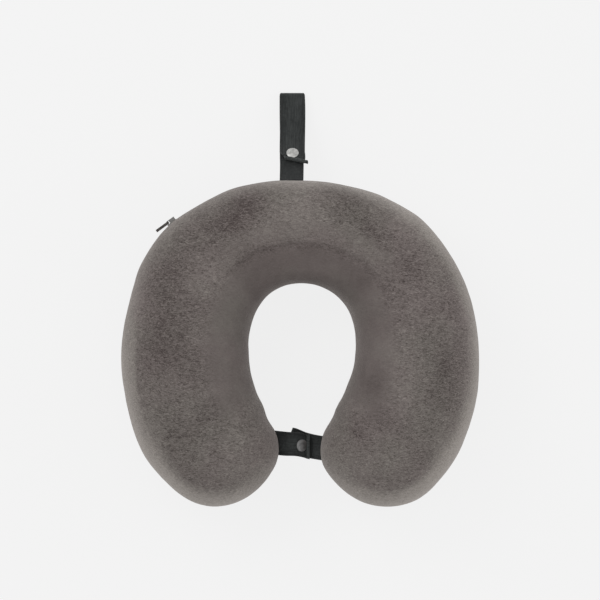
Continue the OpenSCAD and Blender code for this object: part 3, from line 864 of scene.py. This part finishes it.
def loop_paths():
    """The strap's middle line as (point, normal) pairs: root, base, fold and flap."""
    base = [
        (yz(LOOP_C + LOOP_R * polar(d)), yz(-polar(d), 0))
        for d in np.linspace(ROOT_DROP, FOLD_DROP, 84)
    ]
    fold = []
    down = polar(FOLD_DROP)
    onward = np.array([-down[1], down[0]])
    for t in np.linspace(0, math.pi, 14)[1:-1]:
        out = down * math.cos(t) + onward * math.sin(t)
        fold.append((yz(FOLD_C + PITCH / 2 * out), yz(-out, 0)))
    drops = list(np.linspace(FOLD_DROP, END_DROP - 1.5, 96))
    drops += list(np.linspace(END_DROP - 1.5, END_DROP, 18)[1:])
    flap = [
        (yz(LOOP_C + (LOOP_R - PITCH) * polar(d)), yz(polar(d), 0)) for d in drops
    ]
    return base, fold, flap


def make_loop():
    base, fold, flap = loop_paths()
    side = np.array([1.0, 0, 0])
    # the sewn end turns in over the lower panel's edge, under the zip
    sewn = [
        (yz(LOOP_ROOT + np.array([out, up])), yz(np.array([up_n, out_n]), 0))
        for out, up, up_n, out_n in (
            (-3.4, 1.55, -0.1, 0.99), (-2.2, 1.5, 0.17, 0.98), (-1.1, 1.15, 0.45, 0.89),
            (-0.4, 0.6, 0.6, 0.8))
    ]
    path = sewn + base
    whole = path_length(path)

    def wander(u):
        return 0.3 * math.sin(u / 17) - 0.15 - 0.7 * (1 - float(ease((u - 25) / 20)))

    def narrow(u):
        return 0.955 + 0.045 * float(ease((u - 22) / 15))

    strap = band("hanging_strap", strip_stations(path, side, shift=wander, width=narrow), LOOP_W,
                 shade=BASE_SHADE)
    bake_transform(strap)
    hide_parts("loop_strap_base")

    path = base[-1:] + fold + flap
    length = path_length(path)
    snap_at = length - math.radians(END_DROP - SNAP_DROP) * (LOOP_R - PITCH)
    fold_at = math.pi * PITCH / 4
    after, over, height = FLAP_CURL

    def turn(u):
        return -math.radians(FLAP_SLANT) * float(ease((u - snap_at) / FLAP_SLANT_OVER))

    def shift(u):
        settle = wander(whole) * (1 - float(ease(u / 20)))
        pulled = FLAP_ASIDE * float(ease((u - snap_at + 3) / 10))
        pulled += HEM_ASIDE * float(ease((u - length + 4.6) / 3))
        return settle + pulled + 0.2 * math.sin(u / 13)

    def lift(u):
        wave = 0.12 * math.sin(u / 8) * float(ease((u - 10) / 9))
        return -rise(u, snap_at + after, over, height) + wave  # the flap's normal points down

    def width(u):
        return 1.015 - FOLD_PINCH * math.exp(-(((u - fold_at) / FOLD_PINCH_WIDTH) ** 2))

    flap_piece = band(
        "strap_flap", strip_stations(path, side, turn, shift, lift, width), LOOP_W, *FLAP_HEM)
    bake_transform(flap_piece)
    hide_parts("loop_strap_bend", "loop_strap_flap")


TILT, TURN, SNAP_Y, SNAP_Z, TAB_W = math.radians(30), math.radians(-7), -122.0, 49.0, 20.4
TAB_PAST, TAB_STRAIGHT, TAB_ROOT_X, TAB_INSIDE = 7.6, 5.5, 17.0, 7.0
TAB_DIR = np.array([math.cos(TILT), -math.sin(TILT)])
TAB_NORMAL = np.array([math.sin(TILT), math.cos(TILT)])


def tab_path(side):
    """A front tab's middle line from inside the pillow to its end: side -1 is left, on top."""
    passing = np.array([0, SNAP_Z]) - side * TAB_NORMAL * PITCH / 2
    end = passing - side * TAB_DIR * TAB_PAST
    join = passing + side * TAB_DIR * TAB_STRAIGHT
    hidden = np.array([side * (TAB_ROOT_X + TAB_INSIDE), SEAM_Z])
    pull = [hidden, hidden - np.array([side * 9.0, 0]), join + side * TAB_DIR * 6, join]
    pairs = []
    for t in np.linspace(0, 1, 34):
        u = 1 - t
        p = u**3 * pull[0] + 3 * u * u * t * pull[1] + 3 * u * t * t * pull[2] + t**3 * pull[3]
        d = u * u * (pull[1] - pull[0]) + 2 * u * t * (pull[2] - pull[1])
        d = d + t * t * (pull[3] - pull[2])
        d = d / np.linalg.norm(d)
        n = np.array([-d[1], d[0]])
        pairs.append((p, n if n[1] > 0 else -n))
    for t in np.linspace(0, 1, 26)[1:]:
        pairs.append((join + (end - join) * t, TAB_NORMAL))
    fore = np.array([math.cos(TURN), math.sin(TURN), 0])
    return [
        (np.array([0, SNAP_Y, 0]) + fore * p[0] + np.array([0, 0, p[1]]),
         fore * n[0] + np.array([0, 0, n[1]]))
        for p, n in pairs
    ]


# Each front tab in its own plane: the angle of its width at the root and at the end (degrees off
# the frame's), its sideways places (mm from the snap, mm), and how far past the frame's end
TAB_SHAPES = {
    -1: {
        "angles": (5, -12),
        "places": ((-22, -0.4), (-12, -0.2), (-4, 0.9), (8, -0.9)),
        "more": -0.9,
    },
    1: {
        "angles": (4, 15),
        "places": ((-22, 0.2), (-12, -0.2), (-4, -1.2), (8, -4.2)),
        "more": 2.6,
    },
}
TAB_HEM = (1.8, 1.5)
# How each tab's end curls: where it starts (mm before the end), over how many mm, how high
TAB_CURL = {-1: (2.6, 1.2, 1.6), 1: (4.0, 3.0, -0.7)}


def make_tab(name, side, node):
    shape = TAB_SHAPES[side]
    across_dir = -side * np.array([-math.sin(TURN), math.cos(TURN), 0])
    path = tab_path(side)
    snap_at = path_length(path) - TAB_PAST
    beyond = np.array(path[-1][0]) - np.array(path[-2][0])
    beyond = beyond / np.linalg.norm(beyond)
    if shape["more"] > 0:
        path += [
            (np.array(path[-1][0]) + beyond * d, path[-1][1])
            for d in np.linspace(0, shape["more"], 8)[1:]
        ]
    while path_length(path) > snap_at + TAB_PAST + shape["more"] + 0.3:
        path.pop()
    end_at = path_length(path)
    places, moves = zip(*shape["places"])
    before, over, height = TAB_CURL[side]

    def turn(u):
        first, last = (math.radians(v) for v in shape["angles"])
        return first + (last - first) * float(ease((u - snap_at + 10) / 13))

    def shift(u):
        near = [np.interp(u - snap_at + d, places, moves) for d in np.linspace(-2.5, 2.5, 7)]
        return float(np.mean(near))

    def lift(u):
        return math.copysign(rise(u, end_at - before, over, abs(height)), height)

    tab = band(name, strip_stations(path, across_dir, turn, shift, lift), TAB_W, *TAB_HEM)
    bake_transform(tab)
    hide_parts(node)


# ---------------------------------------------------------------- the zip's coil
COIL_PITCH, COIL_WIRE, COIL_SIDES = 1.25, 0.3, 6
# One turn: height over the seam and depth inside the zip's arc, in mm
COIL_TURN = [(1.65, 2.45), (0.9, 2.5), (0.3, 2.35), (0.02, 1.9), (0.25, 1.45), (0.9, 1.3),
             (1.62, 1.35)]
COIL_LEAN = 0.18
COIL_BENT = (0.1, 1.5)       # between these heights the wire bends round
COIL_PARTED = 0.92           # how far a row stands off the seam past the slider


def coil_row(name, node, side):
    """One row of a nylon coil: a turn every pitch, each a small bent loop at the tape's edge."""
    low = math.radians(ZIP_CLOSED + 1.1)
    high = math.radians(ZIP_OPEN - 0.6)
    turns = int((high - low) * ZIP_R / COIL_PITCH)
    ring = COIL_SIDES
    points, faces = [], []
    for i in range(turns):
        a = low + (i + (0.25 if side > 0 else 0.75)) * COIL_PITCH / ZIP_R
        parted = COIL_PARTED if math.degrees(a) < SLIDER_AZ else 0.0
        start = len(points)
        for h, depth in COIL_TURN:
            r = ZIP_R - depth
            lean = (h - 0.8) * COIL_LEAN / ZIP_R
            height = side * (h + parted)
            centre = np.array([
                math.sin(a + lean) * r, ZIP_Y + math.cos(a + lean) * r, SEAM_Z + height])
            tangent = np.array([math.cos(a), -math.sin(a), 0])
            radial = np.array([math.sin(a), math.cos(a), 0])
            bent = COIL_BENT[0] < h < COIL_BENT[1]
            thick = radial * (0.75 if bent else 0.35) + np.array([0, 0, 0.35 if bent else 0.9])
            for k in range(ring):
                t = 2 * math.pi * k / ring
                round_wire = tangent * math.cos(t) * 1.25 + thick * math.sin(t)
                points.append(centre + COIL_WIRE * round_wire)
        n = len(COIL_TURN)
        for s in range(n - 1):
            for k in range(ring):
                m = (k + 1) % ring
                faces.append((start + s * ring + k, start + s * ring + m,
                              start + (s + 1) * ring + m, start + (s + 1) * ring + k))
        faces.append(tuple(start + k for k in reversed(range(ring))))
        faces.append(tuple(start + (n - 1) * ring + k for k in range(ring)))
    obj = new_object(name, points, faces)
    bm = bmesh.new()
    bm.from_mesh(obj.data)
    bmesh.ops.recalc_face_normals(bm, faces=bm.faces)
    if bm.calc_volume(signed=True) < 0:
        bmesh.ops.reverse_faces(bm, faces=bm.faces)
    bm.to_mesh(obj.data)
    bm.free()
    dress(obj, NYLON)
    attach(obj, "pillow")
    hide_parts(node)


# ---------------------------------------------------------------- stage
# Metres: what the camera sees across at the seam's height, how far over it, the floor's side
SEEN_WIDTH, CAMERA_UP, FLOOR_SIZE = 0.504, 16.0, 80.0
WORLD_LIGHT, FLOOR_GLOW = 0.62, 0.83
FLOOR_BELOW = 0.0002


def make_camera():
    data = bpy.data.cameras.new("camera")
    data.sensor_width = 36
    data.lens = data.sensor_width * CAMERA_UP / SEEN_WIDTH
    data.clip_end = 100
    camera = bpy.data.objects.new("camera", data)
    camera.location = (0, 0, SEAM_Z * MM + CAMERA_UP)
    bpy.context.scene.collection.objects.link(camera)
    bpy.context.scene.camera = camera


def area_light(name, place, aim, size, power):
    data = bpy.data.lights.new(name, "AREA")
    data.shape = "RECTANGLE"
    data.size, data.size_y = size
    data.energy = power
    light = bpy.data.objects.new(name, data)
    light.location = place
    light.rotation_mode = "QUATERNION"
    light.rotation_quaternion = (Vector(aim) - Vector(place)).to_track_quat("-Z", "Y")
    light.visible_camera = False
    bpy.context.scene.collection.objects.link(light)


def make_stage():
    world = bpy.data.worlds.new("world")
    world.use_nodes = True
    back = world.node_tree.nodes["Background"]
    back.inputs["Color"].default_value = (1, 1, 1, 1)
    back.inputs["Strength"].default_value = WORLD_LIGHT
    bpy.context.scene.world = world
    floor = new_object(
        "floor", np.array([(-1, -1, 0), (1, -1, 0), (1, 1, 0), (-1, 1, 0)]) * FLOOR_SIZE / 2 / MM,
        [(0, 1, 2, 3)], smooth=False)
    floor.location.z = -FLOOR_BELOW
    t = Tree("floor", (0.08, 0.08, 0.08), 0.9)
    t.set(Specular_IOR_Level=0.0, Emission_Color=(1, 1, 1, 1), Emission_Strength=FLOOR_GLOW)
    dress(floor, t.material)
    area_light("key", (-0.9, 0.8, 1.3), (0, 0, 0.05), (1.0, 1.0), 9)
    area_light("side", (1.2, 0.1, 0.7), (0, 0, 0.05), (0.8, 0.8), 3)


bpy.context.scene.view_settings.view_transform = "Standard"
make_camera()
make_stage()

VELOUR = velour()
WEBBING = webbing_cloth()
NYLON = nylon()
FINISHES = {
    "foam_core": foam(),
    "foam_liner": woven("liner", (0.66, 0.65, 0.62), (0.8, 0.79, 0.76), 1.2),
    "zip_tape": woven("zip_cloth", (0.03, 0.028, 0.027), (0.08, 0.076, 0.072), 0.7),
    "zip_top_stops": metal("stop_metal", (0.35, 0.34, 0.33), 0.42),
    "zip_bottom_stop": metal("stop_metal_end", (0.35, 0.34, 0.33), 0.42),
    "zip_slider": metal("slider_metal", (0.3, 0.29, 0.28), 0.45),
    "zip_pull": metal("pull_metal", (0.11, 0.1, 0.095), 0.45),
    "loop_snap_spring": metal("loop_brass", (0.6, 0.45, 0.2), 0.3),
    "front_snap_spring": metal("front_brass", (0.6, 0.45, 0.2), 0.3),
    # Both snaps are one metal: the front snap's darker copy is painted shade, for its cap tilted
    # away from the light
    "loop_snap": metal("snap_metal", (0.62, 0.62, 0.6), 0.42),
    "front_snap": metal("snap_metal_painted_shade", (0.33, 0.33, 0.33), 0.5),
}
for node, obj in NODES.items():
    start = max((k for k in FINISHES if node.startswith(k)), key=len, default=None)
    if start:
        dress(obj, FINISHES[start])
    elif node.startswith("zip_coil"):
        dress(obj, NYLON)
    elif node.startswith("cover"):
        dress(obj, VELOUR)
    else:
        dress(obj, WEBBING)

make_cover()
make_loop()
make_tab("upper_tab_strap", -1, "left_tab")
make_tab("lower_tab_strap", 1, "right_tab")
coil_row("coil_upper_row", "zip_coil_upper", 1)
coil_row("coil_lower_row", "zip_coil_lower", -1)
